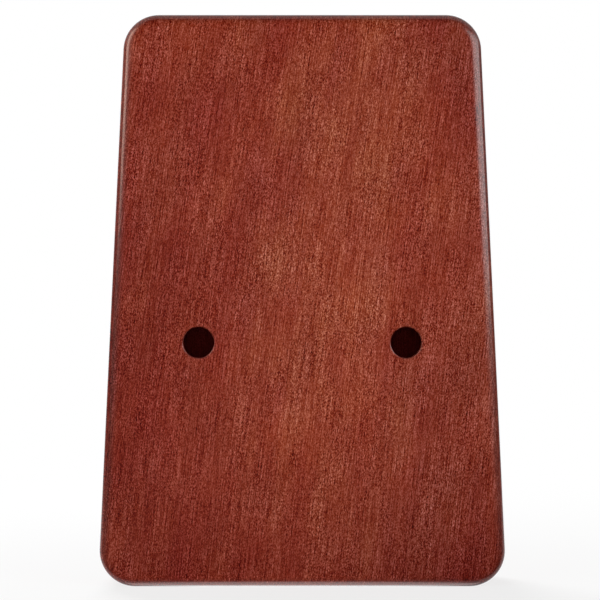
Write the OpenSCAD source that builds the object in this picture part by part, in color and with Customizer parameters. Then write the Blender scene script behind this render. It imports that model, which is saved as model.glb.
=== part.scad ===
// Box kalimba: a tapered hollow soundbox of reddish hardwood whose steel tines are clamped across a bridge.
// It is drafted lying on its back: X runs across, Y from the wide tail end to the narrow head end,
// and Z from the back face out through the soundboard. upright() then stands it on its tail end.

/* [Soundbox] */
// Length from the tail end to the head end
body_length = 185; // [155:1:230]
// Width of the tail end, to its sharp corners
tail_width = 132.4; // [116:0.1:160]
// Width of the head end, to its sharp corners
head_width = 114.8; // [110:0.1:140]
// Radius of the four corners of the outline
corner_radius = 11.5; // [6:0.5:18]
// Radius of the rounded outer edge of the back and of the soundboard
edge_radius = 3; // [1:0.25:3.25]
// Thickness of the back panel
back_thickness = 4; // [3.5:0.25:6]
// Thickness of the soundboard
board_thickness = 4; // [3.5:0.25:6]
// Depth of the rim between the back panel and the soundboard
rim_depth = 20; // [16:0.5:40]
// Thickness of the side rails
side_thickness = 7; // [4:0.5:9]
// Straight stretch of side that each end rail keeps past its rounded corners
end_land = 1.5; // [1:0.5:10]

/* [Air holes] */
// Diameter of the two air holes in the back
vent_diameter = 10; // [6:0.5:16]
// Distance between the centres of the two air holes
vent_spacing = 67; // [40:0.5:80]
// Height of the air holes above the tail end
vent_height = 79; // [50:0.5:110]
// Diameter of the sound hole
sound_hole_diameter = 30; // [20:0.5:40]
// Height of the sound hole's centre above the tail end
sound_hole_height = 62; // [45:0.5:80]
// Width of the bevel that eases the rims of the holes
hole_ease = 0.5; // [0.2:0.1:1]

/* [Bridge] */
// Distance of the pressure bar from the head end
bridge_setback = 42; // [38:0.5:50]
// Depth of the bridge base along the instrument
bridge_depth = 26; // [24:0.5:34]
// Height of the bridge base
bridge_height = 6; // [4:0.5:10]
// How far the four walls of the bridge base lean in
bridge_lean = 1.5; // [0.5:0.25:2]
// Wood left past the outer screws at each end of the bridge base
bridge_end = 6.5; // [4:0.5:9]
// Depth of the cove along the middle of the bridge base
cove_depth = 1.5; // [0.5:0.25:2]
// Width of that cove
cove_width = 10; // [6:0.5:10]
// Diameter of the two rods that the tines lie on
rod_diameter = 4; // [3:0.25:5]
// Distance between the two rods
rod_spacing = 16; // [15:0.5:18]
// How far the rods reach past the outermost tines
rod_end = 1.5; // [0.5:0.25:2]
// Diameter of the pressure bar that holds the tines down
bar_diameter = 5; // [4:0.25:7]
// How far the pressure bar reaches past the outer screws
bar_end = 4.2; // [3.5:0.1:6]
// Width of the bevel on the ends of the rods and of the bar
bar_bevel = 0.5; // [0.2:0.1:0.8]
// Depth of the brace along the instrument
brace_depth = 18; // [12:0.5:24]
// Height of the brace under the soundboard
brace_height = 9; // [8:0.5:12]
// Width of the bevel along the brace's lower edges
brace_bevel = 3; // [1:0.5:5]

/* [Screws] */
// Diameter of the screw shanks
screw_diameter = 3; // [2:0.25:4]
// Diameter of the screw heads
head_diameter = 6.2; // [5:0.1:7]
// Height of the straight part of the screw heads
head_side = 0.9; // [0.5:0.1:1.5]
// Height of the dome on the screw heads
head_dome = 1.3; // [0.8:0.1:1.5]
// Depth of the flat that each head sits on in the pressure bar
spot_depth = 0.6; // [0.4:0.1:0.9]
// Length of shank that bites into the brace
screw_bite = 7; // [5:0.5:8]
// Length of the pointed tip of the shank
screw_point = 2; // [1:0.25:3]
// Length of the cross recess in the heads
recess_length = 3.4; // [2.5:0.1:4]
// Width of the cross recess
recess_width = 0.9; // [0.6:0.1:1.2]
// Depth of the cross recess
recess_depth = 1.2; // [0.8:0.1:1.4]

/* [Tines] */
// Number of tines
tine_count = 17; // [9:2:17]
// Number of tines between the two inner screws
middle_tines = 7; // [3:2:7]
// Width of a tine
tine_width = 4; // [3:0.1:4.4]
// Thickness of a tine
tine_thickness = 1.2; // [0.8:0.1:1.6]
// Gap between neighbouring tines
tine_gap = 0.8; // [0.5:0.1:1.2]
// Free length of the lowest tine, from the front rod to its tip
longest_tongue = 61; // [52:0.5:75]
// Slope of the free ends above the soundboard, in degrees
tine_rise = 4.5; // [2:0.5:8]
// Radius of the bend in front of the bridge
bend_radius = 12; // [6:0.5:14]
// Straight stretch between the front rod and that bend
bend_land = 1; // [0.5:0.25:1.5]
// How far the tails reach past the rear rod
tail_overhang = 7; // [4:0.5:12]
// Radius of the corners of the tails
tail_radius = 1; // [0.4:0.1:1.4]
// Length of the upswept stretch before each tip
sweep_length = 9; // [5:0.5:9]
// Angle of that upsweep, in degrees
sweep_angle = 6; // [2:0.5:12]

/* [Fits] */
// Gap between a tine and the rods and bar that it slides between
slide_gap = 0.05; // [0.03:0.01:0.1]
// Radial gap of the rounded end of a tongue in the hollow end of its heel
flex_gap = 0.04; // [0.03:0.01:0.1]
// Radial gap of the rods in their grooves
seat_gap = 0.02; // [0.01:0.01:0.1]
// Radial gap of the screw shanks in the bar, the bridge base and the soundboard
screw_clearance = 0.15; // [0.1:0.05:0.4]
// Radial gap of the screw shanks in the brace
pilot_gap = 0.02; // [0.01:0.01:0.05]
// Room between a screw shank and the tines beside it
screw_room = 0.5; // [0.3:0.1:0.8]
// Gap between the brace and the side rails
brace_gap = 0.2; // [0.1:0.1:0.5]

/* [Hidden] */
$fn = 64;
mahogany = [0.52, 0.22, 0.165];
bare_wood = [0.62, 0.38, 0.27];
dark_wood = [0.2, 0.1, 0.07];
spring_steel = [0.74, 0.75, 0.77];
bar_steel = [0.6, 0.61, 0.63];
screw_steel = [0.45, 0.45, 0.46];

// Outline of the box: its depth, its taper and the centres of its corner rounds
box_depth = back_thickness + rim_depth + board_thickness;
taper = atan((tail_width - head_width) / 2 / body_length);
end_depth = corner_radius + end_land;
function half_width(y) = tail_width / 2 - y * tan(taper);
function corner_x(y) = half_width(y) - corner_radius / cos(taper);
tail_y = corner_radius;
head_y = body_length - corner_radius;
corners = [
    [-corner_x(tail_y), tail_y],
    [corner_x(tail_y), tail_y],
    [corner_x(head_y), head_y],
    [-corner_x(head_y), head_y]
];
// Flats that a full turn of a rounded corner or edge is drawn with
corner_facets = 40;
// Thickness of a side rail measured straight across the box
side_across = side_thickness / cos(taper);

// Places of the tines and of the screws between them, across the bridge
tine_pitch = tine_width + tine_gap;
screw_lane = screw_diameter + 2 * screw_room;
middle_half = (middle_tines - 1) / 2;
function tine_step(i) = i - (tine_count - 1) / 2;
function lane_shift(step) = abs(step) > middle_half ? sign(step) * (screw_lane - tine_gap) : 0;
function tine_x(i) = tine_step(i) * tine_pitch + lane_shift(tine_step(i));
array_half = tine_x(tine_count - 1) + tine_width / 2;
inner_screw_x = middle_half * tine_pitch + (tine_width + screw_lane) / 2;
outer_screw_x = array_half + screw_lane / 2;
screw_places = [-outer_screw_x, -inner_screw_x, inner_screw_x, outer_screw_x];

// Tuning: a major scale that starts on the middle tine and steps outwards left, right, left, right.
// A strip's note rises an octave where its free length falls by the square root of two.
scale_steps = [0, 2, 4, 5, 7, 9, 11];
octave = 12;
function scale_rank(step) = step < 0 ? -2 * step - 1 : 2 * step;
function semitones(rank) = octave * floor(rank / len(scale_steps)) + scale_steps[rank % len(scale_steps)];
function free_length(i) = longest_tongue * pow(2, -semitones(scale_rank(tine_step(i))) / (2 * octave));

// Share of the free length, from the bridge, at which a bending strip turns as if it were hinged
flex_share = 0.15;
slope_start = bend_land + bend_radius * tine_rise * PI / 180;
slope_foot = [bend_land + bend_radius * sin(tine_rise), bend_radius * (1 - cos(tine_rise))];
function heel_slope(i) = flex_share * free_length(i) - slope_start;
function blade_length(i) = (1 - flex_share) * free_length(i) - sweep_length - tine_width / 2;
sweep_radius = sweep_length / (sweep_angle * PI / 180);

// Points along one face of a strip that turns upwards, the given offset above its middle
strip_half = tine_thickness / 2;
bend_steps = 8;
function bend_point(radius, angle, offset) = [
    (radius - offset) * sin(angle),
    radius - (radius - offset) * cos(angle)
];
function bend_line(radius, angle, offset) = [
    for (k = [0 : bend_steps]) bend_point(radius, angle * k / bend_steps, offset)
];
function reversed(points) = [for (k = [len(points) - 1 : -1 : 0]) points[k]];

// Levels above the back face and places along the instrument
bridge_top = box_depth + bridge_height;
tine_level = bridge_top + rod_diameter / 2 + slide_gap + tine_thickness / 2;
bar_level = tine_level + tine_thickness / 2 + slide_gap + bar_diameter / 2;
head_seat = bar_level + bar_diameter / 2 - spot_depth;
screw_end = box_depth - board_thickness - screw_bite;
bar_y = body_length - bridge_setback;
front_rod_y = bar_y - rod_spacing / 2;
rear_rod_y = bar_y + rod_spacing / 2;
tail_reach = rod_spacing + tail_overhang;
rod_length = 2 * (array_half + rod_end);
bar_length = 2 * (outer_screw_x + bar_end);
bridge_length = 2 * (outer_screw_x + bridge_end);
cove_radius = (cove_width * cove_width / 4 + cove_depth * cove_depth) / (2 * cove_depth);
dome_radius = (head_diameter * head_diameter / 4 + head_dome * head_dome) / (2 * head_dome);

// Extra length of a cutting tool past the face that it starts from
overcut = 1;
// Turn of each screw's recess from the last
recess_turn = 35;

function tine_name(i, piece) = str("tine_", i < 9 ? "0" : "", i + 1, "_", piece);

// Stands the drafted instrument on its tail end, with its back towards -Y and its mid-depth at Y 0
module upright() {
    rotate([90, 0, 180])
        translate([0, 0, -box_depth / 2])
            children();
}

// Tapered block with round corners: the section given as a child, turned about the four corner centres
module tapered_block() {
    hull()
        for (place = corners)
            translate(place)
                rotate_extrude($fn = corner_facets)
                    children();
}

// Section of a panel from a corner centre out to its rim, with the edge rounded on the underside
module panel_section(thickness) {
    square([corner_radius - edge_radius, thickness]);
    translate([corner_radius - edge_radius, edge_radius])
        square([edge_radius, thickness - edge_radius]);
    intersection() {
        square([corner_radius, thickness]);
        translate([corner_radius - edge_radius, edge_radius])
            circle(edge_radius, $fn = corner_facets);
    }
}

// Tapered panel with its rounded edge on the underside
module panel(thickness) {
    tapered_block()
        panel_section(thickness);
}

// Round hole drilled from the underside of a panel, with a bevelled mouth
module eased_hole(diameter, thickness) {
    translate([0, 0, -overcut])
        cylinder(h = thickness + 2 * overcut, d = diameter);
    cylinder(h = hole_ease, r1 = diameter / 2 + hole_ease, r2 = diameter / 2);
}

module back_panel() {
    color(mahogany)
        upright()
            difference() {
                panel(back_thickness);
                for (side = [-1, 1])
                    translate([side * vent_spacing / 2, vent_height, 0])
                        eased_hole(vent_diameter, back_thickness);
            }
}

module soundboard() {
    color(mahogany)
        upright()
            translate([0, 0, box_depth])
                mirror([0, 0, 1])
                    difference() {
                        panel(board_thickness);
                        translate([0, sound_hole_height, 0])
                            eased_hole(sound_hole_diameter, board_thickness);
                        for (x = screw_places)
                            translate([x, bar_y, -overcut])
                                cylinder(
                                    h = board_thickness + 2 * overcut,
                                    r = screw_diameter / 2 + screw_clearance
                                );
                    }
}

// Part of the rim whose plan lies inside the given outline
module rim_piece(outline) {
    translate([0, 0, back_thickness])
        intersection() {
            tapered_block()
                square([corner_radius, rim_depth]);
            linear_extrude(rim_depth)
                polygon(outline);
        }
}

// Rim piece across one end, from its flat inner face out past the end of the box
module end_rail(inner_y, outer_y) {
    rim_piece([
        [-tail_width, inner_y],
        [tail_width, inner_y],
        [tail_width, outer_y],
        [-tail_width, outer_y]
    ]);
}

module tail_end() {
    color(mahogany)
        upright()
            end_rail(end_depth, -overcut);
}

module head_end() {
    color(mahogany)
        upright()
            end_rail(body_length - end_depth, body_length + overcut);
}

// Rim piece along one side, butted between the two end rails
module side_rail(side) {
    foot_y = end_depth;
    top_y = body_length - end_depth;
    rim_piece([
        [side * (half_width(foot_y) - side_across), foot_y],
        [side * (half_width(foot_y) + overcut), foot_y],
        [side * (half_width(top_y) + overcut), top_y],
        [side * (half_width(top_y) - side_across), top_y]
    ]);
}

module left_side() {
    color(mahogany)
        upright()
            side_rail(-1);
}

module right_side() {
    color(mahogany)
        upright()
            side_rail(1);
}

// Sweeps a section drawn along the instrument and upwards into a bar across it
module across_bar(length) {
    rotate([90, 0, 90])
        linear_extrude(length, center = true)
            children();
}

// Bar glued under the soundboard between the side rails, which the screws bite into
module bridge_brace() {
    foot_y = bar_y - brace_depth / 2;
    top_y = bar_y + brace_depth / 2;
    inset = side_across + brace_gap;
    color(bare_wood)
        upright()
            translate([0, 0, box_depth - board_thickness - brace_height])
                difference() {
                    intersection() {
                        translate([0, bar_y, 0])
                            across_bar(tail_width + head_width)
                                polygon([
                                    [-brace_depth / 2 + brace_bevel, 0],
                                    [brace_depth / 2 - brace_bevel, 0],
                                    [brace_depth / 2, brace_bevel],
                                    [brace_depth / 2, brace_height],
                                    [-brace_depth / 2, brace_height],
                                    [-brace_depth / 2, brace_bevel]
                                ]);
                        linear_extrude(brace_height)
                            polygon([
                                [-half_width(foot_y) + inset, foot_y],
                                [half_width(foot_y) - inset, foot_y],
                                [half_width(top_y) - inset, top_y],
                                [-half_width(top_y) + inset, top_y]
                            ]);
                    }
                    for (x = screw_places)
                        translate([x, bar_y, -overcut])
                            cylinder(h = brace_height + 2 * overcut, r = screw_diameter / 2 + pilot_gap);
                }
}

// Section of the bridge base: leaning walls, a groove for each rod and a cove between them
module bridge_section() {
    difference() {
        polygon([
            [-bridge_depth / 2, 0],
            [bridge_depth / 2, 0],
            [bridge_depth / 2 - bridge_lean, bridge_height],
            [-bridge_depth / 2 + bridge_lean, bridge_height]
        ]);
        for (side = [-1, 1])
            translate([side * rod_spacing / 2, bridge_height])
                circle(rod_diameter / 2 + seat_gap);
        translate([0, bridge_height - cove_depth + cove_radius])
            circle(cove_radius);
    }
}

module bridge_base() {
    color(dark_wood)
        upright()
            translate([0, bar_y, box_depth])
                difference() {
                    intersection() {
                        across_bar(bridge_length)
                            bridge_section();
                        rotate([90, 0, 0])
                            linear_extrude(2 * bridge_depth, center = true)
                                polygon([
                                    [-bridge_length / 2, 0],
                                    [bridge_length / 2, 0],
                                    [bridge_length / 2 - bridge_lean, bridge_height],
                                    [-bridge_length / 2 + bridge_lean, bridge_height]
                                ]);
                    }
                    for (x = screw_places)
                        translate([x, 0, -overcut])
                            cylinder(
                                h = bridge_height + 2 * overcut,
                                r = screw_diameter / 2 + screw_clearance
                            );
                }
}

// Round bar across the instrument with bevelled ends
module round_bar(diameter, length) {
    rotate([0, 90, 0])
        rotate_extrude()
            polygon([
                [0, -length / 2],
                [diameter / 2 - bar_bevel, -length / 2],
                [diameter / 2, -length / 2 + bar_bevel],
                [diameter / 2, length / 2 - bar_bevel],
                [diameter / 2 - bar_bevel, length / 2],
                [0, length / 2]
            ]);
}

module front_rod() {
    color(bar_steel)
        upright()
            translate([0, front_rod_y, bridge_top])
                round_bar(rod_diameter, rod_length);
}

module rear_rod() {
    color(bar_steel)
        upright()
            translate([0, rear_rod_y, bridge_top])
                round_bar(rod_diameter, rod_length);
}

module pressure_bar() {
    color(bar_steel)
        upright()
            difference() {
                translate([0, bar_y, bar_level])
                    round_bar(bar_diameter, bar_length);
                for (x = screw_places)
                    translate([x, bar_y, 0]) {
                        translate([0, 0, bar_level - bar_diameter])
                            cylinder(h = 2 * bar_diameter, r = screw_diameter / 2 + screw_clearance);
                        translate([0, 0, head_seat])
                            cylinder(h = bar_diameter, r = head_diameter / 2 + screw_clearance);
                    }
            }
}

// Domed screw head with a cross recess, on its seat at Z 0
module screw_head() {
    difference() {
        rotate_extrude() {
            square([head_diameter / 2, head_side]);
            translate([0, head_side])
                intersection() {
                    translate([0, head_dome - dome_radius])
                        circle(dome_radius);
                    square(head_diameter);
                }
        }
        for (across = [0, 90])
            rotate(across)
                translate([-recess_length / 2, -recess_width / 2, head_side + head_dome - recess_depth])
                    cube([recess_length, recess_width, recess_depth + overcut]);
    }
}

module pressure_screws() {
    color(screw_steel)
        upright()
            for (k = [0 : len(screw_places) - 1])
                translate([screw_places[k], bar_y, 0]) {
                    translate([0, 0, head_seat])
                        rotate(k * recess_turn)
                            screw_head();
                    translate([0, 0, screw_end + screw_point])
                        cylinder(h = head_seat - screw_end - screw_point, d = screw_diameter);
                    translate([0, 0, screw_end])
                        cylinder(h = screw_point, d1 = 0, d2 = screw_diameter);
                }
}

// Places a tine over the front rod, with +Y along its free end and Z 0 at its mid-thickness
module at_bridge(i) {
    translate([tine_x(i), front_rod_y, tine_level])
        rotate(180)
            children();
}

// Straight stretch of strip
module strip(length, width) {
    translate([-width / 2, 0, -strip_half])
        cube([width, length, tine_thickness]);
}

// Round of strip in plan, over the given sweep
module strip_round(radius, angle, thickness) {
    rotate_extrude(angle = angle)
        translate([0, -thickness / 2])
            square([radius, thickness]);
}

// Side profile of a strip that runs straight up to the origin, turns upwards and runs on
module bent_profile(before, radius, angle, after) {
    finish = radius * [sin(angle), 1 - cos(angle)] + after * [cos(angle), sin(angle)];
    upright_of = strip_half * [-sin(angle), cos(angle)];
    polygon(concat(
        [[-before, -strip_half]],
        bend_line(radius, angle, -strip_half),
        [finish - upright_of, finish + upright_of],
        reversed(bend_line(radius, angle, strip_half)),
        [[-before, strip_half]]
    ));
}

// Clamped part of a tine: tail, stretch under the bar, bend, and a hollow end that the tongue turns in
module tine_heel(i) {
    color(spring_steel)
        upright()
            at_bridge(i) {
                translate([0, -tail_reach, 0]) {
                    strip(tail_radius, tine_width - 2 * tail_radius);
                    for (side = [0, 1])
                        mirror([side, 0, 0])
                            translate([tine_width / 2 - tail_radius, tail_radius, 0])
                                rotate(-90)
                                    strip_round(tail_radius, 90, tine_thickness);
                }
                across_bar(tine_width)
                    difference() {
                        translate([bend_land, 0])
                            bent_profile(
                                tail_reach - tail_radius + bend_land, bend_radius, tine_rise, heel_slope(i)
                            );
                        translate(slope_foot + heel_slope(i) * [cos(tine_rise), sin(tine_rise)])
                            circle(strip_half + flex_gap);
                    }
            }
}

// Free part of a tine: a rounded end in the heel, a straight blade, an upsweep and a round tip
module tine_tongue(i) {
    tip_centre = blade_length(i) + sweep_radius * sin(sweep_angle);
    color(spring_steel)
        upright()
            at_bridge(i)
                translate([0, slope_foot.x, slope_foot.y])
                    rotate([tine_rise, 0, 0])
                        translate([0, heel_slope(i), 0]) {
                            rotate([0, 90, 0])
                                rotate(180)
                                    strip_round(strip_half, 180, tine_width);
                            intersection() {
                                across_bar(2 * tine_width)
                                    translate([blade_length(i), 0])
                                        bent_profile(blade_length(i), sweep_radius, sweep_angle, tine_width);
                                union() {
                                    translate([-tine_width / 2, 0, -sweep_length])
                                        cube([tine_width, tip_centre, 2 * sweep_length]);
                                    translate([0, tip_centre, 0])
                                        strip_round(tine_width / 2, 180, 2 * sweep_length);
                                }
                            }
                        }
}

back_panel();
left_side();
right_side();
head_end();
tail_end();
soundboard();
bridge_brace();
bridge_base();
front_rod();
rear_rod();
pressure_bar();
pressure_screws();
for (i = [0 : tine_count - 1]) {
    tine_heel(i);
    tine_tongue(i);
}
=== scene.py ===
import math
import bmesh
import bpy
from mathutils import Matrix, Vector


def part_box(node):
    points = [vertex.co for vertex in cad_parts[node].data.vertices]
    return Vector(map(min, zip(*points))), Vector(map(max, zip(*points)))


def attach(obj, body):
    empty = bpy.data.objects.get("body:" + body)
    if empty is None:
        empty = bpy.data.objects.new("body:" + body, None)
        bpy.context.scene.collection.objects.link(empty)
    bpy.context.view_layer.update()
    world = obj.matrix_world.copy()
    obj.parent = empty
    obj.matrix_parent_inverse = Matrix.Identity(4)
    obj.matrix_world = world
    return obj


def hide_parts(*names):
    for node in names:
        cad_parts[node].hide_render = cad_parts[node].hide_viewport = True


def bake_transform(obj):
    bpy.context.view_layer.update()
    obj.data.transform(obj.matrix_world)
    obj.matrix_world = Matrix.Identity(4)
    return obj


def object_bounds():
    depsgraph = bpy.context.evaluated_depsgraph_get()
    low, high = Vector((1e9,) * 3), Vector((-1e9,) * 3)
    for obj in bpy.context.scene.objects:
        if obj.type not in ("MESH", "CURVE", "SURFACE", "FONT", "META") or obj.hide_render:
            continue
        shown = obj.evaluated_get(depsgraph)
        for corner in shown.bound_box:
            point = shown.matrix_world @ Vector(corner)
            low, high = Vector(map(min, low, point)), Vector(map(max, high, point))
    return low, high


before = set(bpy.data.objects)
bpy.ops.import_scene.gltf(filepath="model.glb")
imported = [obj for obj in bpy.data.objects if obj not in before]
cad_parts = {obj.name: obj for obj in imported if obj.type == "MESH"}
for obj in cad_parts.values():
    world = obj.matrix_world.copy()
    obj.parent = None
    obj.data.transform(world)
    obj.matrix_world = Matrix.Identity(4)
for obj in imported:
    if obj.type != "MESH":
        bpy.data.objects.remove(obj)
cad_low, cad_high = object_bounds()

# Back panel: a board of reddish mahogany, sawn to the tapered outline with its grain up the instrument, and
# glued to the rim. Its edge is rounded over with a router and two air holes are drilled. Stain soaks into its
# inner face, which stays dull, and the outside is sprayed with satin lacquer.
TAIL_WIDTH = 0.1324
HEAD_WIDTH = 0.1148
CORNER_RADIUS = 0.0115
CORNER_STEPS = 16
EDGE_DEPTH = 0.003
EDGE_STEPS = 10
SHOULDER_RADIUS = 0.008
SHOULDER_TURN = math.radians(18)
SHOULDER_STEPS = 6
SEAM_EASE = 0.00012
AIR_HOLE_RADIUS = 0.005
AIR_HOLE_SPACING = 0.067
AIR_HOLE_HEIGHT = 0.079
HOLE_EASE = 0.0004
HOLE_EASE_STEPS = 4
HOLE_POINTS = 64
QUARTER = math.pi / 2
CREASE = math.radians(35)
WELD = 1e-7

board_length = cad_high.z
taper = math.atan((TAIL_WIDTH - HEAD_WIDTH) / 2 / board_length)


def half_width(z):
    """Half the width of the soundbox at a height, out to the straight line of its sides."""
    return TAIL_WIDTH / 2 - z * math.tan(taper)


def corner_arc(side, end, inset):
    """Points round one corner, from the end of the box to its side; end is 0 at the tail, 1 at the head."""
    z = board_length - CORNER_RADIUS if end else CORNER_RADIUS
    x = half_width(z) - CORNER_RADIUS / math.cos(taper)
    first = QUARTER if end else -QUARTER
    points = []
    for step in range(CORNER_STEPS + 1):
        turn = first + (taper - first) * step / CORNER_STEPS
        radius = CORNER_RADIUS - inset
        points.append((side * (x + radius * math.cos(turn)), z + radius * math.sin(turn)))
    return points


def box_outline(inset):
    """The whole outline of the soundbox, drawn in by inset, as points in X and Z."""
    tail = corner_arc(-1, 0, inset)[::-1] + corner_arc(1, 0, inset)
    return tail + corner_arc(1, 1, inset)[::-1] + corner_arc(-1, 1, inset)


def edge_profile():
    """How far in and up the rounded edge runs: a quick bend, then a wide shoulder sanded into the face."""
    bend = QUARTER - SHOULDER_TURN
    rise = SHOULDER_RADIUS * (1 - math.sin(bend))
    bend_radius = (EDGE_DEPTH - rise) / math.sin(bend)
    points = []
    for step in range(EDGE_STEPS + 1):
        turn = bend * step / EDGE_STEPS
        points.append((bend_radius * (1 - math.cos(turn)), bend_radius * math.sin(turn)))
    inset, up = points[-1]
    for step in range(1, SHOULDER_STEPS + 1):
        turn = bend + SHOULDER_TURN * step / SHOULDER_STEPS
        reach = SHOULDER_RADIUS * (math.cos(bend) - math.cos(turn))
        points.append((inset + reach, up + SHOULDER_RADIUS * (math.sin(turn) - math.sin(bend))))
    return points


def full_turn(count):
    """The angles of points spread evenly round a circle."""
    return [2 * math.pi * k / count for k in range(count)]


def circle(x, z, radius):
    """A ring of points round a hole, in X and Z."""
    return [(x + radius * math.cos(turn), z + radius * math.sin(turn)) for turn in full_turn(HOLE_POINTS)]


def ring(mesh, points, y):
    """A closed loop of vertices at one depth."""
    return [mesh.verts.new((x, y, z)) for x, z in points]


def skin(mesh, rings):
    """Quads between each loop and the next."""
    for first, second in zip(rings, rings[1:]):
        for k in range(len(first)):
            after = (k + 1) % len(first)
            mesh.faces.new((first[k], first[after], second[after], second[k]))


def fill(mesh, loops):
    """A flat face inside the first loop and round the others."""
    edges = []
    for loop in loops:
        for k, vertex in enumerate(loop):
            edges.append(mesh.edges.get((vertex, loop[(k + 1) % len(loop)])))
    bmesh.ops.triangle_fill(mesh, use_beauty=True, edges=edges)


def made_piece(name, mesh, material, body, replaced):
    """Turns a mesh into a smooth-shaded piece that rides on its body and stands for its CAD nodes."""
    bmesh.ops.remove_doubles(mesh, verts=mesh.verts, dist=WELD)
    bmesh.ops.recalc_face_normals(mesh, faces=mesh.faces)
    data = bpy.data.meshes.new(name + "_piece")
    mesh.to_mesh(data)
    mesh.free()
    data.shade_smooth()
    data.set_sharp_from_angle(angle=CREASE)
    data.materials.append(material)
    piece = bpy.data.objects.new(name + "_piece", data)
    bpy.context.scene.collection.objects.link(piece)
    piece.modifiers.new("even_normals", "WEIGHTED_NORMAL").keep_sharp = True
    if body:
        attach(piece, body)
    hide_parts(*replaced)
    return piece


def panel(name, outward, holes, material):
    """A box panel with its outer edge rounded; outward is -1 towards the back, 1 towards the front."""
    low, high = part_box(name)
    inner, outer = (high.y, low.y) if outward < 0 else (low.y, high.y)
    mesh = bmesh.new()
    rim = [
        ring(mesh, box_outline(SEAM_EASE), inner),
        ring(mesh, box_outline(0), inner + outward * SEAM_EASE),
    ]
    for inset, up in edge_profile():
        rim.append(ring(mesh, box_outline(inset), outer - outward * (EDGE_DEPTH - up)))
    skin(mesh, rim)
    bores = []
    for x, z, radius in holes:
        bore = []
        for step in range(HOLE_EASE_STEPS + 1):
            turn = QUARTER * step / HOLE_EASE_STEPS
            points = circle(x, z, radius + HOLE_EASE * (1 - math.sin(turn)))
            bore.append(ring(mesh, points, outer - outward * HOLE_EASE * (1 - math.cos(turn))))
        bore.append(ring(mesh, circle(x, z, radius), inner))
        skin(mesh, bore)
        bores.append(bore)
    fill(mesh, [rim[-1]] + [bore[0] for bore in bores])
    fill(mesh, [rim[0]] + [bore[-1] for bore in bores])
    return made_piece(name, mesh, material, "soundbox", [name])


def node(tree, kind, inputs=None, **settings):
    """Adds a shader node; each input is a value or the output that feeds it."""
    made = tree.nodes.new(kind)
    for key, value in settings.items():
        setattr(made, key, value)
    for socket, value in (inputs or {}).items():
        if isinstance(value, bpy.types.NodeSocket):
            tree.links.new(value, made.inputs[socket])
        else:
            made.inputs[socket].default_value = value
    return made


def sums(tree, operation, first, second):
    """One step of arithmetic on two numbers."""
    return node(tree, "ShaderNodeMath", {0: first, 1: second}, operation=operation).outputs[0]


def bell(tree, value, reach):
    """One at zero, falling off smoothly to either side over about that reach."""
    share = sums(tree, "DIVIDE", value, reach)
    return sums(tree, "POWER", 1 / math.e, sums(tree, "MULTIPLY", share, share))


def remap(tree, value, before, after):
    """Carries a value from one range to another, and keeps it inside."""
    inputs = {"Value": value, "From Min": before[0], "From Max": before[1]}
    inputs |= {"To Min": after[0], "To Max": after[1]}
    return node(tree, "ShaderNodeMapRange", inputs, interpolation_type="SMOOTHSTEP").outputs[0]


def ramp(tree, factor, stops):
    """A colour ramp through the given stops of position and colour."""
    made = node(tree, "ShaderNodeValToRGB", {"Fac": factor})
    while len(made.color_ramp.elements) < len(stops):
        made.color_ramp.elements.new(1.0)
    for element, (position, colour) in zip(made.color_ramp.elements, stops):
        element.position = position
        element.color = (*colour, 1.0)
    return made.outputs["Color"]


MIXED_COLOUR_A, MIXED_COLOUR_B, MIXED_COLOUR = 6, 7, 2


def tinted(tree, colour, tint):
    """One colour multiplied by another."""
    inputs = {"Factor": 1.0, MIXED_COLOUR_A: colour, MIXED_COLOUR_B: tint}
    mixed = node(tree, "ShaderNodeMix", inputs, data_type="RGBA", blend_type="MULTIPLY")
    return mixed.outputs[MIXED_COLOUR]


def new_material(name):
    """An empty node material and its surface shader, already joined to the output."""
    material = bpy.data.materials.new(name)
    material.use_nodes = True
    tree = material.node_tree
    tree.nodes.clear()
    shader = node(tree, "ShaderNodeBsdfPrincipled")
    node(tree, "ShaderNodeOutputMaterial", {"Surface": shader.outputs[0]})
    return material, tree, shader


def grain_point(tree, along, lean, bow, offset):
    """Where a point lies in the timber: across the grain, through the board, and along the grain."""
    place = node(tree, "ShaderNodeTexCoord").outputs["Object"]
    parts = node(tree, "ShaderNodeSeparateXYZ", {0: place}).outputs
    run, across = (parts["Z"], parts["X"]) if along == "Z" else (parts["X"], parts["Z"])
    slope = sums(tree, "ADD", lean, sums(tree, "MULTIPLY", run, bow / 2))
    leaning = sums(tree, "SUBTRACT", across, sums(tree, "MULTIPLY", run, slope))
    inputs = {"X": leaning, "Y": parts["Y"], "Z": run}
    point = node(tree, "ShaderNodeCombineXYZ", inputs).outputs[0]
    return node(tree, "ShaderNodeVectorMath", {0: point, 1: offset}, operation="ADD").outputs[0]


STREAK_ROUGHNESS = 0.6
NOISE_MIDDLE = 0.5


def streaks(tree, point, width, length, detail):
    """Noise about zero, drawn out along the grain in streaks of about that width and length."""
    sizes = (1 / width, 1 / width, 1 / length)
    stretched = node(tree, "ShaderNodeVectorMath", {0: point, 1: sizes}, operation="MULTIPLY").outputs[0]
    inputs = {"Vector": stretched, "Scale": 1.0, "Detail": detail, "Roughness": STREAK_ROUGHNESS}
    return sums(tree, "SUBTRACT", node(tree, "ShaderNodeTexNoise", inputs).outputs["Fac"], NOISE_MIDDLE)


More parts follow.
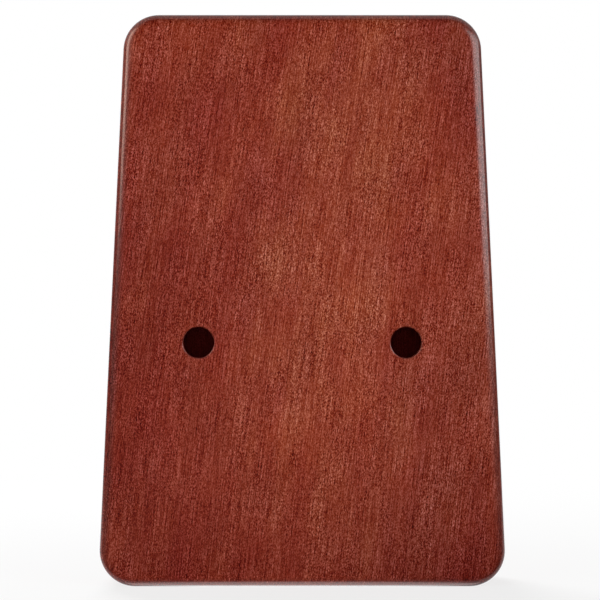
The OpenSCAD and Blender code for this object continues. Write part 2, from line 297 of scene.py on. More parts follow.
NOISE_SPREAD = (-0.2, 0.2)
LINE, LINE_WEIGHT = (0.0004, 0.016, 1.5), 0.75
BREAK, BREAK_SHARE = (0.00035, 0.0008, 0.0), (0.3, 1.7)
PORE, PORE_WEIGHT = (0.00027, 0.0025, 0.0), 0.25
FLECK, FLECK_WEIGHT = (0.00022, 0.0005, 0.0), 0.75
PATCH, PATCH_SHARE = (0.006, 0.02, 1.0), (0.7, 1.3)
MIDDLE_TONE = 0.5
BAND, BAND_WEIGHT = (0.0035, 0.05, 2.0), 0.4
FIGURE, FIGURE_WEIGHT = (0.015, 0.028, 1.0), 0.75
# Paler down the middle of the back: partly the board's heart and partly painted light.
HEART_AND_PAINTED_LIGHT_REACH, HEART_AND_PAINTED_LIGHT_WEIGHT = 0.03, 0.3
# Darker towards the tail end of the back.
FOOT_REACH, FOOT_WEIGHT = 0.03, -0.25
MIDDLE_CLOUD = 0.365
CLOUDS = [(0.0, (0.67, 0.44, 0.512)), (0.5, (1.0, 1.0, 1.0)), (1.0, (1.49, 2.27, 1.9))]
TINTS = [
    ((0.014, 0.04, 1.0), [(0.3, (1.0, 0.9, 0.92)), (0.7, (1.0, 1.1, 1.07))]),
    ((0.017, 0.033, 1.0), [(0.3, (1.0, 1.0, 0.93)), (0.7, (1.0, 1.0, 1.06))]),
]
NO_TINT = (1.0, 1.0, 1.0)
# Soft places on the back, each given by its middle across and along the grain, its reach and its tint. They
# are partly the timber's own figure and partly painted light, shade and sheen.
FIGURE_AND_PAINTED_LIGHT = [
    ((-0.071, 0.075), (0.021, 0.05), (0.72, 0.53, 0.6)),
    ((0.03, 0.178), (0.02, 0.03), (0.82, 0.76, 0.92)),
    # Mauve towards the right edge: partly the timber's tone and partly a painted sheen.
    ((0.045, 0.06), (0.022, 0.07), (1.0, 1.28, 1.4)),
    ((0.045, 0.0), (0.035, 0.02), (0.82, 0.74, 0.76)),
    ((-0.063, 0.155), (0.028, 0.045), (1.15, 1.22, 1.27)),
]
PORE_RELIEF, PORE_DEPTH = 0.06, 0.00005
MAHOGANY_TONES = [
    (0.0, (0.026, 0.0004, 0.0001)),
    (0.25, (0.093, 0.0024, 0.0005)),
    (0.5, (0.207, 0.0238, 0.0088)),
    (0.75, (0.371, 0.088, 0.055)),
    (1.0, (0.595, 0.196, 0.146)),
]


def blended(tree, middle, layers):
    """A middle value with each layer added to it by its weight."""
    for layer, weight in layers:
        middle = sums(tree, "ADD", middle, sums(tree, "MULTIPLY", layer, weight))
    return middle


def wood(name, along, lean, bow, offset, tones, shine, roughness):
    """Sawn wood: grain lines broken into dashes, pores, flecks in patches, growth bands, a cloudy figure,
    slow tints, and on the back a darker tail end, a paler middle, and soft darker, paler or more mauve
    places; the middle and those places are partly the timber and partly painted light, shade and sheen."""
    material, tree, shader = new_material(name)
    point = grain_point(tree, along, lean, bow, offset)
    pores = streaks(tree, point, *PORE)
    patches = remap(tree, streaks(tree, point, *PATCH), NOISE_SPREAD, PATCH_SHARE)
    flecks = sums(tree, "MULTIPLY", streaks(tree, point, *FLECK), patches)
    place = node(tree, "ShaderNodeSeparateXYZ", {0: point}).outputs
    breaks = remap(tree, streaks(tree, point, *BREAK), NOISE_SPREAD, BREAK_SHARE)
    lines = sums(tree, "MULTIPLY", streaks(tree, point, *LINE), breaks)
    grain = [(lines, LINE_WEIGHT), (pores, PORE_WEIGHT), (flecks, FLECK_WEIGHT)]
    figure = [
        (streaks(tree, point, *BAND), BAND_WEIGHT),
        (streaks(tree, point, *FIGURE), FIGURE_WEIGHT),
        # Paler down the middle: partly the board's heart and partly painted light.
        (bell(tree, place["X"], HEART_AND_PAINTED_LIGHT_REACH), HEART_AND_PAINTED_LIGHT_WEIGHT),
        # Darker towards the tail end.
        (bell(tree, place["Z"], FOOT_REACH), FOOT_WEIGHT),
    ]
    colour = ramp(tree, blended(tree, MIDDLE_TONE, grain), tones)
    colour = tinted(tree, colour, ramp(tree, blended(tree, MIDDLE_CLOUD, figure), CLOUDS))
    for size, stops in TINTS:
        tint = sums(tree, "ADD", streaks(tree, point, *size), NOISE_MIDDLE)
        colour = tinted(tree, colour, ramp(tree, tint, stops))
    # Soft places on the back: partly figure, partly painted light, shade and sheen.
    for middle, reach, tint in FIGURE_AND_PAINTED_LIGHT:
        across = bell(tree, sums(tree, "SUBTRACT", place["X"], middle[0]), reach[0])
        up = bell(tree, sums(tree, "SUBTRACT", place["Z"], middle[1]), reach[1])
        share = sums(tree, "MULTIPLY", across, up)
        colour = tinted(tree, colour, ramp(tree, share, [(0.0, NO_TINT), (1.0, tint)]))
    tree.links.new(colour, shader.inputs["Base Color"])
    tree.links.new(remap(tree, pores, NOISE_SPREAD, roughness), shader.inputs["Roughness"])
    bump = {"Strength": PORE_RELIEF, "Distance": PORE_DEPTH, "Height": pores}
    tree.links.new(node(tree, "ShaderNodeBump", bump).outputs[0], shader.inputs["Normal"])
    shader.inputs["Specular IOR Level"].default_value = shine
    return material


# Tints by how far the surface faces outward: the dull inner face takes deeper staining, and the rounded edge,
# where it turns away from the face, carries a painted shade.
THIN_STAIN, PAINTED_EDGE_SHADE, SOAKED_STAIN = NO_TINT, (0.7, 0.68, 0.7), (0.8, 0.42, 0.6)
STAIN_AND_EDGE_SHADE = [
    (0.05, SOAKED_STAIN),
    (0.25, THIN_STAIN),
    (0.6, THIN_STAIN),
    (0.8, PAINTED_EDGE_SHADE),
    (0.965, PAINTED_EDGE_SHADE),
    (0.9975, THIN_STAIN),
]
SOAKED_FACING, SOAKED_ROUGHNESS = (-0.9, -0.5), 0.9
HALF = 0.5


def zero_to_one(tree, value):
    """Carries a value between -1 and 1 to one between 0 and 1, as a ramp takes it."""
    return sums(tree, "ADD", HALF, sums(tree, "MULTIPLY", value, HALF))


def stained_and_edge_shaded(material, outward):
    """Paints shade on the rounded edge, and deepens the dull inner face, where more staining soaks in."""
    tree = material.node_tree
    normal = node(tree, "ShaderNodeTexCoord").outputs["Normal"]
    depth = node(tree, "ShaderNodeSeparateXYZ", {0: normal}).outputs["Y"]
    facing = sums(tree, "MULTIPLY", depth, outward)
    shader = next(found for found in tree.nodes if found.type == "BSDF_PRINCIPLED")
    colour, roughness = shader.inputs["Base Color"], shader.inputs["Roughness"]
    stain_and_shade = ramp(tree, zero_to_one(tree, facing), STAIN_AND_EDGE_SHADE)
    tree.links.new(tinted(tree, colour.links[0].from_socket, stain_and_shade), colour)
    satin = roughness.links[0].from_socket
    tree.links.new(remap(tree, facing, SOAKED_FACING, (SOAKED_ROUGHNESS, satin)), roughness)
    return material


BACK_LEAN, BACK_BOW = 0.11, 0.3
BACK_SHINE, BACK_ROUGHNESS = 0.5, (0.24, 0.2)
BACK_PLACE = (0, 0, 0)
back_wood = wood(
    "back_mahogany", "Z", BACK_LEAN, BACK_BOW, BACK_PLACE,
    MAHOGANY_TONES, BACK_SHINE, BACK_ROUGHNESS,
)
air_holes = [(side * AIR_HOLE_SPACING / 2, AIR_HOLE_HEIGHT, AIR_HOLE_RADIUS) for side in (-1, 1)]
# The rounded edge of the back carries a painted shade.
back_panel = panel("back_panel", -1, air_holes, stained_and_edge_shaded(back_wood, -1))

# Rim: two side rails butted between two end blocks, all of the same mahogany. The end blocks are sawn
# round the corners of the outline. They are glued to the back, and their outer faces are sanded flush.
END_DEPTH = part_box("tail_end")[1].z
SIDE_THICKNESS = 0.007
SEAM_STEPS = 2


def eased_edges(piece, width, steps):
    """Rounds every sharp edge of a piece, as sandpaper does."""
    ease = piece.modifiers.new("eased_edges", "BEVEL")
    ease.width = width
    ease.segments = steps
    ease.limit_method = "ANGLE"
    ease.angle_limit = CREASE
    piece.modifiers.move(len(piece.modifiers) - 1, 0)


def rim_piece(name, outline, material):
    """A straight-walled piece of the rim, from its outline in X and Z, with finely eased edges."""
    low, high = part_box(name)
    mesh = bmesh.new()
    back, front = ring(mesh, outline, low.y), ring(mesh, outline, high.y)
    skin(mesh, [back, front])
    mesh.faces.new(back)
    mesh.faces.new(front)
    made = made_piece(name, mesh, material, "soundbox", [name])
    eased_edges(made, SEAM_EASE, SEAM_STEPS)


def side_outline(side):
    """Plan of a side rail between the end blocks."""
    foot, top = END_DEPTH, board_length - END_DEPTH
    across = SIDE_THICKNESS / math.cos(taper)
    walls = [(half_width(foot) - across, foot), (half_width(foot), foot)]
    walls += [(half_width(top), top), (half_width(top) - across, top)]
    return [(side * x, z) for x, z in walls]


def end_outline(end):
    """Plan of an end block, from its flat inner face round the two corners."""
    inner = board_length - END_DEPTH if end else END_DEPTH
    right = corner_arc(1, end, 0) + [(half_width(inner), inner)]
    left = corner_arc(-1, end, 0) + [(-half_width(inner), inner)]
    return left[::-1] + right


RIM_LEAN, RIM_BOW = 0.02, 0.1
LEFT_PLACE, RIGHT_PLACE = (0.31, 0.0, 0.4), (0.57, 0.1, 0.9)
HEAD_PLACE, TAIL_PLACE = (0.83, 0.2, 1.3), (0.45, 0.3, 1.7)
SATIN_SHINE, SATIN_ROUGHNESS = 0.32, (0.32, 0.26)
for name, along, place, outline in (
    ("left_side", "Z", LEFT_PLACE, side_outline(1)),
    ("right_side", "Z", RIGHT_PLACE, side_outline(-1)),
    ("head_end", "X", HEAD_PLACE, end_outline(1)),
    ("tail_end", "X", TAIL_PLACE, end_outline(0)),
):
    rim_wood = wood(
        name + "_mahogany", along, RIM_LEAN, RIM_BOW, place,
        MAHOGANY_TONES, SATIN_SHINE, SATIN_ROUGHNESS,
    )
    rim_piece(name, outline, rim_wood)

# Soundboard: the front panel, of the same mahogany and rounded like the back. A wide sound hole is cut
# below the tines, and the four pressure screws pass through it under the bridge.
SOUND_HOLE_RADIUS = 0.015
SOUND_HOLE_HEIGHT = 0.062
BOARD_LEAN, BOARD_BOW = -0.03, -0.1
BOARD_PLACE = (1.3, 0.5, 2.1)
board_wood = wood(
    "soundboard_mahogany", "Z", BOARD_LEAN, BOARD_BOW, BOARD_PLACE,
    MAHOGANY_TONES, SATIN_SHINE, SATIN_ROUGHNESS,
)
# Its rounded edge carries a painted shade, as on the back.
panel("soundboard", 1, [(0, SOUND_HOLE_HEIGHT, SOUND_HOLE_RADIUS)], stained_and_edge_shaded(board_wood, 1))

# Bridge brace: a bar of plain wood glued under the soundboard, which the pressure screws bite into.
# It stays as sawn, with no stain or lacquer.
BARE_TONES = [(0.0, (0.2, 0.07, 0.03)), (0.5, (0.36, 0.15, 0.08)), (1.0, (0.5, 0.26, 0.15))]
BARE_SHINE, BARE_ROUGHNESS = 0.25, (0.7, 0.6)
BRACE_LEAN, BRACE_BOW = 0, 0
BRACE_PLACE = (2.2, 0.7, 0.3)
bare_wood = wood(
    "bare_brace_wood", "X", BRACE_LEAN, BRACE_BOW, BRACE_PLACE,
    BARE_TONES, BARE_SHINE, BARE_ROUGHNESS,
)
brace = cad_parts["bridge_brace"]
brace.data.materials.clear()
brace.data.materials.append(bare_wood)

# Bridge base: a block of dark rosewood glued across the soundboard. Its four walls lean in, two round
# grooves carry the rods, and a shallow cove is planed between them. It is oiled, not lacquered.
BRIDGE_LEAN = 0.0015
COVE_HALF, COVE_DEPTH = 0.005, 0.0015
ROD_HALF_SPACING, GROOVE_RADIUS = 0.008, 0.00202
BRIDGE_EASE, BRIDGE_EASE_STEPS = 0.00035, 3
ARC_STEPS = 14
ROSEWOOD_LEAN, ROSEWOOD_BOW = 0.01, 0.1
ROSEWOOD_PLACE = (2.2, 0.7, 0.3)
OILED_SHINE, OILED_ROUGHNESS = 0.35, (0.46, 0.38)
ROSEWOOD_TONES = [
    (0.0, (0.006, 0.003, 0.002)),
    (0.4, (0.022, 0.009, 0.006)),
    (0.65, (0.06, 0.026, 0.016)),
    (1.0, (0.13, 0.062, 0.038)),
]
bridge_low, bridge_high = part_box("bridge_base")
bridge_height = bridge_high.y - bridge_low.y
bridge_middle = (bridge_low + bridge_high) / 2


def arc(across, up, radius, first, last):
    """Points of a section along an arc, between two angles."""
    turns = [first + (last - first) * step / ARC_STEPS for step in range(ARC_STEPS + 1)]
    return [(across + radius * math.cos(turn), up + radius * math.sin(turn)) for turn in turns]


def bridge_section():
    """The bridge base seen from its end: distance along the instrument from its middle, and height."""
    half = (bridge_high.z - bridge_low.z) / 2
    cove_radius = (COVE_HALF**2 + COVE_DEPTH**2) / (2 * COVE_DEPTH)
    cove_turn = math.asin(COVE_HALF / cove_radius)
    points = [(-half, 0), (-half + BRIDGE_LEAN, bridge_height)]
    points += arc(-ROD_HALF_SPACING, bridge_height, GROOVE_RADIUS, math.pi, 2 * math.pi)
    cove_centre = bridge_height - COVE_DEPTH + cove_radius
    points += arc(0, cove_centre, cove_radius, -QUARTER - cove_turn, -QUARTER + cove_turn)
    points += arc(ROD_HALF_SPACING, bridge_height, GROOVE_RADIUS, math.pi, 2 * math.pi)
    return points + [(half - BRIDGE_LEAN, bridge_height), (half, 0)]


mesh = bmesh.new()
ends = []
for side in (-1, 1):
    loop = []
    for along, up in bridge_section():
        x = side * (bridge_high.x - BRIDGE_LEAN * up / bridge_height)
        loop.append(mesh.verts.new((x, bridge_low.y + up, bridge_middle.z + along)))
    ends.append(loop)
    mesh.faces.new(loop)
skin(mesh, ends)
rosewood = wood(
    "bridge_rosewood", "X", ROSEWOOD_LEAN, ROSEWOOD_BOW, ROSEWOOD_PLACE,
    ROSEWOOD_TONES, OILED_SHINE, OILED_ROUGHNESS,
)
bridge = made_piece("bridge_base", mesh, rosewood, "soundbox", ["bridge_base"])
eased_edges(bridge, BRIDGE_EASE, BRIDGE_EASE_STEPS)

# Front and rear rods: two lengths of round steel, lying in the grooves of the bridge base. The tines rest
# on them, and the front one ends their free length. They are turned, with rounded ends, and nickel plated.
TURN_POINTS = 48
ROD_EASE, ROD_EASE_STEPS = 0.0005, 4
NICKEL = [(0.3, (0.58, 0.565, 0.54)), (0.7, (0.74, 0.725, 0.70))]
ROD_GRAIN, ROD_ROUGHNESS = (0.0004, 0.006, 0.006), (0.16, 0.26)
BRUSH_DETAIL, BRUSH_ROUGHNESS = 3.0, 0.65
BRUSH_RELIEF, BRUSH_DEPTH = 0.12, 0.00002
BRUSH_SPREAD = (0.3, 0.7)


def turned(mesh, profile, place):
    """Turns a profile of distance along and radius about an axis; place puts a point of it in the frame."""
    rings = []
    for along, radius in profile:
        spots = [(radius * math.cos(turn), radius * math.sin(turn)) for turn in full_turn(TURN_POINTS)]
        rings.append([mesh.verts.new(place(along, u, v)) for u, v in spots])
    skin(mesh, rings)
    return rings


def brushed_steel(name, grain, colours, roughness):
    """Bright metal with fine lines of wear; grain is the size of a line along X, Y and Z."""
    material, tree, shader = new_material(name)
    place = node(tree, "ShaderNodeTexCoord").outputs["Object"]
    sizes = tuple(1 / size for size in grain)
    drawn = node(tree, "ShaderNodeVectorMath", {0: place, 1: sizes}, operation="MULTIPLY").outputs[0]
    noise = {"Vector": drawn, "Scale": 1.0, "Detail": BRUSH_DETAIL, "Roughness": BRUSH_ROUGHNESS}
    lines = node(tree, "ShaderNodeTexNoise", noise).outputs["Fac"]
    tree.links.new(ramp(tree, lines, colours), shader.inputs["Base Color"])
    tree.links.new(remap(tree, lines, BRUSH_SPREAD, roughness), shader.inputs["Roughness"])
    bump = {"Strength": BRUSH_RELIEF, "Distance": BRUSH_DEPTH, "Height": lines}
    tree.links.new(node(tree, "ShaderNodeBump", bump).outputs[0], shader.inputs["Normal"])
    shader.inputs["Metallic"].default_value = 1.0
    return material


def turned_bar(name, material):
    """A round bar across the instrument, in the place of its CAD node, with its ends rounded."""
    low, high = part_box(name)
    middle = (low + high) / 2
    half, radius = high.x, (high.z - low.z) / 2
    profile = []
    for step in range(ROD_EASE_STEPS + 1):
        turn = QUARTER * step / ROD_EASE_STEPS
        profile.append((-half + ROD_EASE * (1 - math.sin(turn)), radius - ROD_EASE * (1 - math.cos(turn))))
    profile.reverse()
    profile = profile + [(-along, size) for along, size in reversed(profile)]
    mesh = bmesh.new()
    rings = turned(mesh, profile, lambda along, y, z: (along, middle.y + y, middle.z + z))
    mesh.faces.new(rings[0])
    mesh.faces.new(rings[-1])
    return made_piece(name, mesh, material, "soundbox", [name])


rod_nickel = brushed_steel("rod_nickel", ROD_GRAIN, NICKEL, ROD_ROUGHNESS)
metal_pieces = [turned_bar("front_rod", rod_nickel), turned_bar("rear_rod", rod_nickel)]

# Pressure bar: a thicker round steel bar laid over all the tines, which the screws pull down. It is turned
# and nickel plated like the rods.
metal_pieces.append(turned_bar("pressure_bar", rod_nickel))

# Pressure screws: four plated steel screws with domed heads and a cross recess. They pass through the
# bar, the bridge base and the soundboard, between the tines, and bite into the brace.
SCREW_PLACES = (-0.0456, -0.0184, 0.0184, 0.0456)
SHANK_RADIUS = 0.0015
THREAD_PITCH, THREAD_DEPTH, THREAD_STEPS = 0.001, 0.0003, 4
POINT_LENGTH = 0.002
HEAD_RADIUS, HEAD_SIDE, HEAD_DOME, HEAD_EASE = 0.0031, 0.0009, 0.0013, 0.00015
DOME_RADIUS = (HEAD_RADIUS**2 + HEAD_DOME**2) / (2 * HEAD_DOME)
DOME_RINGS = (0.0029, 0.0026, 0.0022)
CROSS_ARMS = 4
CROSS_LENGTH, CROSS_WIDTH, CROSS_DEPTH, CROSS_TAPER = 0.0017, 0.00045, 0.0012, 0.62
RECESS_TURN = math.radians(35)
SEAT_LEVEL = 0.0277
SCREW_GRAIN, SCREW_ROUGHNESS = (0.0008, 0.0008, 0.0008), (0.2, 0.34)
point_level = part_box("pressure_screws")[0].y


def dome_level(radius):
    """Height of a screw's domed face at a distance from its axis."""
    return SEAT_LEVEL + HEAD_SIDE + HEAD_DOME - DOME_RADIUS + math.sqrt(DOME_RADIUS**2 - radius**2)


def cross(scale, turn):
    """The outline of the cross recess, drawn in by scale and turned with its screw."""
    long_side, short = CROSS_LENGTH * scale, CROSS_WIDTH * scale
    points = []
    for arm in range(CROSS_ARMS):
        angle = turn + arm * QUARTER
        for u, v in ((long_side, -short), (long_side, short), (short, short)):
            across = u * math.cos(angle) - v * math.sin(angle)
            up = u * math.sin(angle) + v * math.cos(angle)
            points.append((across, up))
    return points


def thread_radius(along, angle):
    """Radius of the shank at a distance from its point: a helical thread that runs out to a sharp end."""
    phase = (along / THREAD_PITCH - angle / (2 * math.pi)) % 1
    share = min(1, along / POINT_LENGTH)
    return share * (SHANK_RADIUS - THREAD_DEPTH * abs(2 * phase - 1))


def add_screw(mesh, x, turn):
    """One screw: a threaded shank with a point, and a domed head with a tapered cross recess."""
    def place(along, u, v):
        return (x + u, along, bridge_middle.z + v)

    head = [(SEAT_LEVEL, SHANK_RADIUS), (SEAT_LEVEL, HEAD_RADIUS - HEAD_EASE)]
    head += [(SEAT_LEVEL + HEAD_EASE, HEAD_RADIUS), (SEAT_LEVEL + HEAD_SIDE - HEAD_EASE, HEAD_RADIUS)]
    head += [(dome_level(radius), radius) for radius in DOME_RINGS]
    head_rings = turned(mesh, head, place)
    mouth = [mesh.verts.new(place(dome_level(math.hypot(u, v)), u, v)) for u, v in cross(1, turn)]
    floor_level = SEAT_LEVEL + HEAD_SIDE + HEAD_DOME - CROSS_DEPTH
    floor_loop = [mesh.verts.new(place(floor_level, u, v)) for u, v in cross(CROSS_TAPER, turn)]
    skin(mesh, [mouth, floor_loop])
    fill(mesh, [head_rings[-1], mouth])
    fill(mesh, [floor_loop])
    length = SEAT_LEVEL - point_level
    count = round(length / THREAD_PITCH * THREAD_STEPS)
    rings = []
    for step in range(1, count):
        along = length * step / count
        loop = []
        for angle in full_turn(TURN_POINTS):
            radius = thread_radius(along, angle)
            spot = place(point_level + along, radius * math.cos(angle), radius * math.sin(angle))
            loop.append(mesh.verts.new(spot))
        rings.append(loop)
    mesh.faces.new(rings[0])
    skin(mesh, rings + head_rings[:1])


mesh = bmesh.new()
for count, x in enumerate(SCREW_PLACES):
    add_screw(mesh, x, -count * RECESS_TURN)
screw_nickel = brushed_steel("screw_nickel", SCREW_GRAIN, NICKEL, SCREW_ROUGHNESS)
screws = made_piece("pressure_screws", mesh, screw_nickel, "soundbox", ["pressure_screws"])
metal_pieces.append(screws)

# Tines: seventeen strips of spring steel with rounded edges, round tips that sweep up, and square tails
# with round corners. The bar clamps them over the rods, so each can slide to be tuned and bend when plucked.
TINE_COUNT = 17
TINE_THICKNESS = 0.0012
LONGEST_TONGUE = 0.061
SCALE_STEPS = (0, 2, 4, 5, 7, 9, 11)
OCTAVE = 12
TAIL_REACH, TAIL_RADIUS = 0.023, 0.001
BEND_LAND, BEND_RADIUS, TINE_RISE = 0.001, 0.012, math.radians(4.5)
SWEEP_LENGTH, SWEEP_ANGLE = 0.009, math.radians(6)
TINE_EASE, TINE_EASE_STEPS = 0.0003, 3
TAIL_STEPS, TIP_STEPS = 4, 10
STATION = 0.0015
SPRING_STEEL = [(0.3, (0.50, 0.505, 0.515)), (0.7, (0.82, 0.825, 0.83))]
SPRING_GRAIN, SPRING_ROUGHNESS = (0.00014, 0.004, 0.012), (0.14, 0.28)
front_low, front_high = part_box("front_rod")
rod_z = (front_low.z + front_high.z) / 2
heel_low, heel_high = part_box("tine_01_heel")
tine_half = (heel_high.x - heel_low.x) / 2


def free_length(number):
    """Length from the front rod to the tip: the notes of a scale step outwards from the middle tine."""
    step = number - (TINE_COUNT + 1) // 2
    rank = -2 * step - 1 if step < 0 else 2 * step
    semitones = OCTAVE * (rank // len(SCALE_STEPS)) + SCALE_STEPS[rank % len(SCALE_STEPS)]
    return LONGEST_TONGUE * 2 ** (-semitones / (2 * OCTAVE))


def tine_path(distance, length):
    """Middle line of a tine from the front rod towards its tip: along, up, and its slope there."""
    sweep_start = length - SWEEP_LENGTH - tine_half
    turns = (
        (BEND_LAND, BEND_RADIUS, TINE_RISE),
        (sweep_start, SWEEP_LENGTH / SWEEP_ANGLE, SWEEP_ANGLE),
    )
    along, up, slope, done = 0.0, 0.0, 0.0, 0.0
    for begins, radius, angle in turns:
        straight = min(distance, begins) - done
        along += straight * math.cos(slope)
        up += straight * math.sin(slope)
        if distance <= begins:
            return along, up, slope
        turn = min((distance - begins) / radius, angle)
        along += radius * (math.sin(slope + turn) - math.sin(slope))
        up += radius * (math.cos(slope) - math.cos(slope + turn))
        slope += turn
        done = begins + radius * angle
        if distance <= done:
            return along, up, slope
    rest = distance - done
    return along + rest * math.cos(slope), up + rest * math.sin(slope), slope


def tine_outline(length, inset):
    """Half the outline of a flat tine, from its tail round to the point of its tip."""
    first, last = -TAIL_REACH + TAIL_RADIUS, length - tine_half
    points = []
    for step in range(TAIL_STEPS + 1):
        turn = math.pi - QUARTER * step / TAIL_STEPS
        radius = TAIL_RADIUS - inset
        across = tine_half - TAIL_RADIUS + radius * math.sin(turn)
        points.append((first + radius * math.cos(turn), across))
    count = round((last - first) / STATION)
    points += [(first + (last - first) * k / count, tine_half - inset) for k in range(1, count)]
    for step in range(TIP_STEPS + 1):
        turn = QUARTER * (1 - step / TIP_STEPS)
        points.append((last + (tine_half - inset) * math.cos(turn), (tine_half - inset) * math.sin(turn)))
    return points


def tine_mesh(x, y, length):
    """A whole tine as one strip: rounded edges all round, bent along its path."""
    levels = []
    for step in range(TINE_EASE_STEPS + 1):
        turn = QUARTER * step / TINE_EASE_STEPS
        inset = TINE_EASE * (1 - math.sin(turn))
        levels.append((inset, TINE_THICKNESS / 2 - TINE_EASE * (1 - math.cos(turn))))
    levels += [(inset, -up) for inset, up in reversed(levels)]
    mesh = bmesh.new()
    loops = []
    for inset, height in levels:
        half = tine_outline(length, inset)
        loop = []
        for distance, across in half + [(d, -a) for d, a in reversed(half[:-1])]:
            along, up, slope = tine_path(distance, length)
            up += height * math.cos(slope)
            along -= height * math.sin(slope)
            loop.append(mesh.verts.new((x + across, y + up, rod_z - along)))
        loops.append(loop)
    skin(mesh, loops)
    for loop in (loops[0], loops[-1]):
        for k in range(len(loop) // 2):
            corners = (loop[k], loop[k + 1], loop[-k - 2], loop[-k - 1])
            mesh.faces.new(list(dict.fromkeys(corners)))
    return mesh


spring_steel = brushed_steel("spring_steel", SPRING_GRAIN, SPRING_STEEL, SPRING_ROUGHNESS)
for number in range(1, TINE_COUNT + 1):
    name = f"tine_{number:02d}"
    low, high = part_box(name + "_heel")
    length = free_length(number)
    x, y = (low.x + high.x) / 2, low.y + TINE_THICKNESS / 2
    mesh = tine_mesh(x, y, length)
    tine = made_piece(name, mesh, spring_steel, None, [name + "_heel", name + "_tongue"])
    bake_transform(tine)
    metal_pieces.append(tine)

# Floor: a plain pale sheet of paper under the instrument that keeps its shadow. Towards the camera it
# mirrors dark in the lacquer, as if a black card lay there.
FLOOR_RADIUS, FLOOR_POINTS = 0.42, 96
PAPER = (0.9, 0.9, 0.9, 1.0)
WHITE = (1.0, 1.0, 1.0, 1.0)
SHADOW_REACH, SHADOW_SHARE = (0.0, 0.38), (0.78, 1.0)
CARD_EDGE, CARD_SHARE = (-0.017, -0.0145), (0.04, 1.0)
mesh = bmesh.new()
spots = [(FLOOR_RADIUS * math.cos(turn), FLOOR_RADIUS * math.sin(turn)) for turn in full_turn(FLOOR_POINTS)]
mesh.faces.new([mesh.verts.new((x, y, 0)) for x, y in spots])
data = bpy.data.meshes.new("floor")
mesh.to_mesh(data)
mesh.free()
floor = bpy.data.objects.new("floor", data)
bpy.context.scene.collection.objects.link(floor)


def mirrored_rays(tree, path):
    """One for rays that a shiny or clear surface sends on, nought for all others."""
    return sums(tree, "MAXIMUM", path["Is Glossy Ray"], path["Is Transmission Ray"])


paper = bpy.data.materials.new("floor_paper")
paper.use_nodes = True
tree = paper.node_tree
tree.nodes.clear()
path = node(tree, "ShaderNodeLightPath").outputs
place = node(tree, "ShaderNodeTexCoord").outputs["Object"]
distance = node(tree, "ShaderNodeVectorMath", {0: place}, operation="LENGTH").outputs["Value"]
seen = sums(tree, "MULTIPLY", remap(tree, distance, SHADOW_REACH, SHADOW_SHARE), path["Is Camera Ray"])
matt = node(tree, "ShaderNodeBsdfDiffuse", {"Color": PAPER}).outputs[0]
glow = node(tree, "ShaderNodeEmission", {"Color": WHITE, "Strength": 1.0}).outputs[0]
lit = node(tree, "ShaderNodeMixShader", {0: seen, 1: matt, 2: glow}).outputs[0]
depth = node(tree, "ShaderNodeSeparateXYZ", {0: place}).outputs["Y"]
card = {"Color": WHITE, "Strength": remap(tree, depth, CARD_EDGE, CARD_SHARE)}
mirror = node(tree, "ShaderNodeEmission", card).outputs[0]
sheet = node(tree, "ShaderNodeMixShader", {0: mirrored_rays(tree, path), 1: lit, 2: mirror}).outputs[0]
node(tree, "ShaderNodeOutputMaterial", {"Surface": sheet})
data.materials.append(paper)

# Studio: a white backdrop all round as the camera sees it, and a plain grey light from the room. In shiny
# surfaces the room shows dark on the camera's side, and pale above and below a grey horizon elsewhere.
ROOM_HEIGHT, ROOM_LIGHT = (0.0, 0.6), (0.28, 0.06)
DARK_ROOM, DARK_EDGE = 0.005, (0.14, 0.24)
MIRRORED_ROOM = [(0.37, (0.85, 0.85, 0.85)), (0.5, (0.14, 0.14, 0.14)), (0.72, (0.85, 0.85, 0.85))]
SLANT = math.radians(45)
MIXED_NUMBER_A, MIXED_NUMBER_B = 2, 3
world = bpy.data.worlds.new("studio")
bpy.context.scene.world = world
world.use_nodes = True
tree = world.node_tree
tree.nodes.clear()
path = node(tree, "ShaderNodeLightPath").outputs
heading = node(tree, "ShaderNodeTexCoord").outputs["Generated"]
direction = node(tree, "ShaderNodeSeparateXYZ", {0: heading}).outputs
matt_light = remap(tree, direction["Z"], ROOM_HEIGHT, ROOM_LIGHT)
away = sums(tree, "MULTIPLY", sums(tree, "ADD", direction["Y"], direction["Z"]), math.cos(SLANT))
pale_room = ramp(tree, zero_to_one(tree, direction["Z"]), MIRRORED_ROOM)
shiny_light = remap(tree, away, DARK_EDGE, (DARK_ROOM, pale_room))
lights = {"Factor": mirrored_rays(tree, path), MIXED_NUMBER_A: matt_light, MIXED_NUMBER_B: shiny_light}
strength = sums(tree, "MAXIMUM", path["Is Camera Ray"], node(tree, "ShaderNodeMix", lights).outputs[0])
backdrop = node(tree, "ShaderNodeBackground", {"Color": WHITE, "Strength": strength}).outputs[0]
node(tree, "ShaderNodeOutputWorld", {"Surface": backdrop})

# Soft boxes: matt light from both sides, from beside the camera into the air holes, and on the front. The
# other boxes show only as gleams, along the rounded edge of the back and on the metal. One of them is a pale
# strip on the floor, which shows in the rounded edge at the tail.
SIDE_FILL = dict(elevation=3, distance=0.7, width=0.5, height=0.32, radiance=5.05)
SIDE_AZIMUTH = 52
CAMERA_FILL = dict(azimuth=0, elevation=2, distance=1.2, width=0.2, height=0.2, radiance=7.0)
FRONT_FILL = dict(azimuth=200, elevation=35, distance=1.0, width=0.6, height=0.6, radiance=10.6)
RIGHT_GLEAM = dict(azimuth=57, elevation=18, distance=0.65, width=0.64, height=0.36, radiance=4.6)
LEFT_GLEAM = dict(azimuth=-60, elevation=25, distance=0.65, width=0.34, height=0.4, radiance=7.0)
WARM = (1.0, 0.76, 0.64)
TAIL_GLEAM = dict(azimuth=0, elevation=-90, distance=0.0009, width=0.116, height=0.0036, radiance=1.75)
TAIL_GLEAM_DEPTH, TAIL_GLEAM_HEIGHT = 0.0008, 0.001
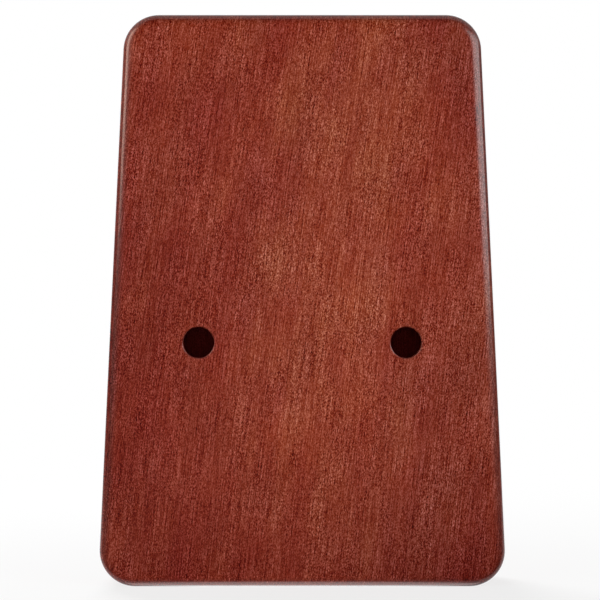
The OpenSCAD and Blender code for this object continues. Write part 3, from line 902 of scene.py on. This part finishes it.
BAR_GLEAM = dict(azimuth=160, elevation=32, distance=0.9, width=1.2, height=0.2, radiance=2.6)
METAL_GLEAM = dict(elevation=-2, distance=0.8, width=1.3, height=0.8, radiance=0.5)
METAL_AZIMUTH = 68
object_centre = (cad_low + cad_high) / 2
tail_edge = Vector((0, cad_low.y + TAIL_GLEAM_DEPTH, TAIL_GLEAM_HEIGHT))


def softbox(name, azimuth, elevation, distance, width, height, radiance, aim=object_centre):
    """A soft box turned to its aim; azimuth 0 is on the camera's side and 90 to its right."""
    lamp = bpy.data.lights.new(name, "AREA")
    lamp.shape = "RECTANGLE"
    lamp.size, lamp.size_y = width, height
    lamp.energy = radiance * math.pi * width * height
    made = bpy.data.objects.new(name, lamp)
    bpy.context.scene.collection.objects.link(made)
    a, e = math.radians(azimuth), math.radians(elevation)
    towards = Vector((math.sin(a) * math.cos(e), -math.cos(a) * math.cos(e), math.sin(e)))
    made.location = aim + distance * towards
    made.rotation_euler = towards.to_track_quat("Z", "Y").to_euler()
    made.visible_camera = False
    return made


def gleam(lamp, pieces):
    """Makes a lamp show only as a reflection, and only in the given pieces."""
    lamp.visible_diffuse = False
    group = bpy.data.collections.new(lamp.name)
    for piece in pieces:
        group.objects.link(piece)
    lamp.light_linking.receiver_collection = group


softbox("right_fill", azimuth=SIDE_AZIMUTH, **SIDE_FILL).visible_glossy = False
softbox("left_fill", azimuth=-SIDE_AZIMUTH, **SIDE_FILL).visible_glossy = False
softbox("camera_fill", **CAMERA_FILL).visible_glossy = False
softbox("front_fill", **FRONT_FILL).visible_glossy = False
gleam(softbox("right_gleam", **RIGHT_GLEAM), [back_panel])
left_gleam = softbox("left_gleam", **LEFT_GLEAM)
left_gleam.data.color = WARM
gleam(left_gleam, [back_panel])
tail_gleam = softbox("tail_gleam", aim=tail_edge, **TAIL_GLEAM)
tail_gleam.data.shape = "ELLIPSE"
gleam(tail_gleam, [back_panel])
gleam(softbox("bar_gleam", **BAR_GLEAM), metal_pieces)
gleam(softbox("right_metal_gleam", azimuth=METAL_AZIMUTH, **METAL_GLEAM), metal_pieces)
gleam(softbox("left_metal_gleam", azimuth=-METAL_AZIMUTH, **METAL_GLEAM), metal_pieces)

# Camera: square on to the back, as the instrument stands, filling the square frame from end to end. It is
# near enough that the back hides the rim.
LENS = 110.0
FRAME_HEIGHT = 0.1944
FRAME_SHIFT = Vector((-0.00075, 0, 0.0002))
camera_data = bpy.data.cameras.new("camera")
camera_data.lens = LENS
camera = bpy.data.objects.new("camera", camera_data)
bpy.context.scene.collection.objects.link(camera)
edge_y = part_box("back_panel")[0].y + EDGE_DEPTH
stand_off = FRAME_HEIGHT * LENS / camera_data.sensor_width
camera.location = Vector((0, edge_y - stand_off, board_length / 2)) + FRAME_SHIFT
camera.rotation_euler = (QUARTER, 0, 0)
bpy.context.scene.camera = camera
bpy.context.scene.view_settings.view_transform = "Standard"
